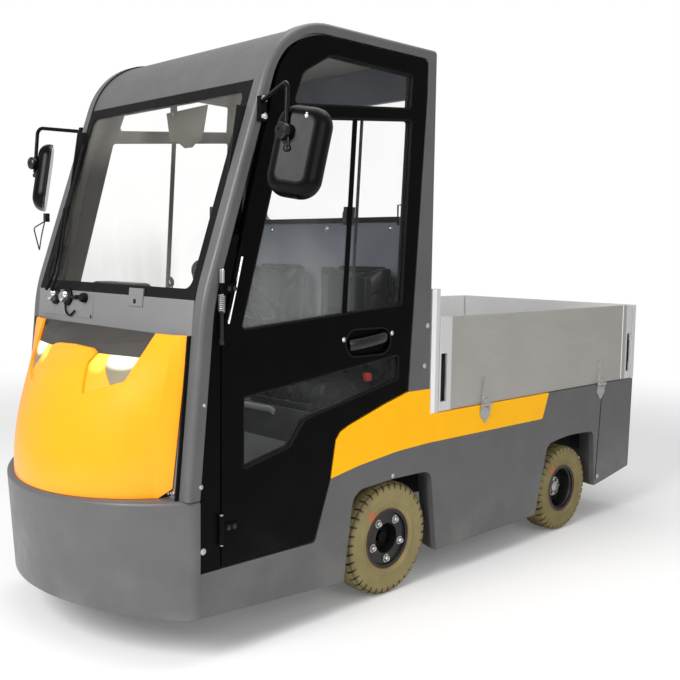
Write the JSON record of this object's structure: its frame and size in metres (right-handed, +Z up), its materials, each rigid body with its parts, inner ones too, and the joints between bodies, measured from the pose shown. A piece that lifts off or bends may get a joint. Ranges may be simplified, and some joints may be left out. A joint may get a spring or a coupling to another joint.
{
  "type": "airport baggage tug",
  "caption": "Small electric platform tractor with an enclosed cab, two side doors and a dropside load bed for towing and carrying baggage.",
  "frame": {"origin": "on the ground under the centre of the bounding box", "axes": "+Z up, the front faces -Y, +X is the vehicle's left"},
  "size_m": [1.6854, 2.9099, 1.98],
  "materials": {
    "body_grey": "satin paint",
    "nose_yellow": "gloss paint",
    "door_black": "satin black paint",
    "window_glass": "clear glass",
    "seal_rubber": "matt rubber",
    "nose_dark": "dark moulded plastic",
    "lamp_amber": "amber lens",
    "cab_lining": "dark textured paint",
    "seat_vinyl": "black seat vinyl",
    "frame_black": "black paint",
    "battery_grey": "moulded case",
    "board_aluminium": "brushed profiles",
    "deck_plate": "chequered sheet",
    "hinge_steel": "zinc plated",
    "tyre_beige": "non-marking rubber",
    "rim_black": "black enamel",
    "control_black": "moulded plastic",
    "lamp_clear": "lamp lens",
    "lamp_red": "lamp lens"
  },
  "bodies": {
    "chassis": {"front_bumper": "body_grey", "side_panel_left": "body_grey", "side_panel_right": "body_grey", "rear_panel": "body_grey", "cab_side_frame_left": "body_grey", "cab_side_frame_right": "body_grey", "roof": "body_grey", "cowl_panel": "body_grey", "arch_returns": "body_grey", "hood": "nose_yellow", "stripe_panel_left": "nose_yellow", "stripe_panel_right": "nose_yellow", "hinge_strip_left": "door_black", "hinge_strip_right": "door_black", "windscreen": "window_glass", "rear_glass": "window_glass", "windscreen_seal": "seal_rubber", "nose_liners": "seal_rubber", "nose_panel": "nose_dark", "indicators": "lamp_amber", "cab_rear_wall": "cab_lining", "seat_box": "cab_lining", "cab_floor": "cab_lining", "dashboard": "cab_lining", "seat_cushions": "seat_vinyl", "seat_backs": "seat_vinyl", "chassis_frame": "frame_black", "front_axle": "frame_black", "drive_axle": "frame_black", "tow_coupling": "frame_black", "steering_column": "frame_black", "battery_block": "battery_grey", "headboard": "board_aluminium", "bed_deck": "deck_plate", "side_board_hinges": "hinge_steel", "tail_board_hinges": "hinge_steel", "mirrors": "control_black", "headlamps": "lamp_clear", "rear_lamps": "lamp_red"},
    "door_left": {"door_left": "door_black", "door_glass_left": "window_glass"},
    "door_right": {"door_right": "door_black", "door_glass_right": "window_glass"},
    "steering_wheel": {"steering_wheel": "control_black"},
    "knuckle_left": {"knuckle_left": "frame_black"},
    "knuckle_right": {"knuckle_right": "frame_black"},
    "front_wheel_left": {"front_tyre_left": "tyre_beige", "front_rim_left": "rim_black"},
    "front_wheel_right": {"front_tyre_right": "tyre_beige", "front_rim_right": "rim_black"},
    "rear_wheel_left": {"rear_tyre_left": "tyre_beige", "rear_rim_left": "rim_black"},
    "rear_wheel_right": {"rear_tyre_right": "tyre_beige", "rear_rim_right": "rim_black"},
    "side_board_left": {"side_board_left": "board_aluminium"},
    "side_board_right": {"side_board_right": "board_aluminium"},
    "tail_board": {"tail_board": "board_aluminium"}
  },
  "joints": [
    {"name": "door_left_hinge", "type": "hinge", "parent": "chassis", "child": "door_left", "pos_m": [0.545, -1.098, 1], "axis": [0, 0, -1], "range_deg": [0, 40]},
    {"name": "steer_left", "type": "hinge", "parent": "chassis", "child": "knuckle_left", "pos_m": [0.372, -0.32, 0.209], "axis": [0, 0, 1], "range_deg": [-35, 35]},
    {"name": "front_wheel_left_spin", "type": "hinge", "parent": "knuckle_left", "child": "front_wheel_left", "pos_m": [0.467, -0.32, 0.209], "axis": [1, 0, 0], "continuous": true},
    {"name": "rear_wheel_left_spin", "type": "hinge", "parent": "chassis", "child": "rear_wheel_left", "pos_m": [0.463, 0.85, 0.1925], "axis": [1, 0, 0], "continuous": true},
    {"name": "side_board_left_drop", "type": "hinge", "parent": "chassis", "child": "side_board_left", "pos_m": [0.543, 0.671, 0.65], "axis": [0, 1, 0], "range_deg": [0, 180]},
    {"name": "door_right_hinge", "type": "hinge", "parent": "chassis", "child": "door_right", "pos_m": [-0.545, -1.098, 1], "axis": [0, 0, 1], "range_deg": [0, 40]},
    {"name": "steer_right", "type": "hinge", "parent": "chassis", "child": "knuckle_right", "pos_m": [-0.372, -0.32, 0.209], "axis": [0, 0, 1], "range_deg": [-35, 35]},
    {"name": "front_wheel_right_spin", "type": "hinge", "parent": "knuckle_right", "child": "front_wheel_right", "pos_m": [-0.467, -0.32, 0.209], "axis": [1, 0, 0], "continuous": true},
    {"name": "rear_wheel_right_spin", "type": "hinge", "parent": "chassis", "child": "rear_wheel_right", "pos_m": [-0.463, 0.85, 0.1925], "axis": [1, 0, 0], "continuous": true},
    {"name": "side_board_right_drop", "type": "hinge", "parent": "chassis", "child": "side_board_right", "pos_m": [-0.543, 0.671, 0.65], "axis": [0, -1, 0], "range_deg": [0, 180]},
    {"name": "tail_board_drop", "type": "hinge", "parent": "chassis", "child": "tail_board", "pos_m": [0, 1.448, 0.65], "axis": [-1, 0, 0], "range_deg": [0, 180]},
    {"name": "steering_wheel_turn", "type": "hinge", "parent": "chassis", "child": "steering_wheel", "pos_m": [0.24, -0.81, 1.108], "axis": [0, 0.6428, 0.766], "range_deg": [-350, 350]}
  ],
  "couplings": [
    {"joint": "steer_right", "follows": "steer_left", "ratio": 1},
    {"joint": "steering_wheel_turn", "follows": "steer_left", "ratio": 10}
  ]
}
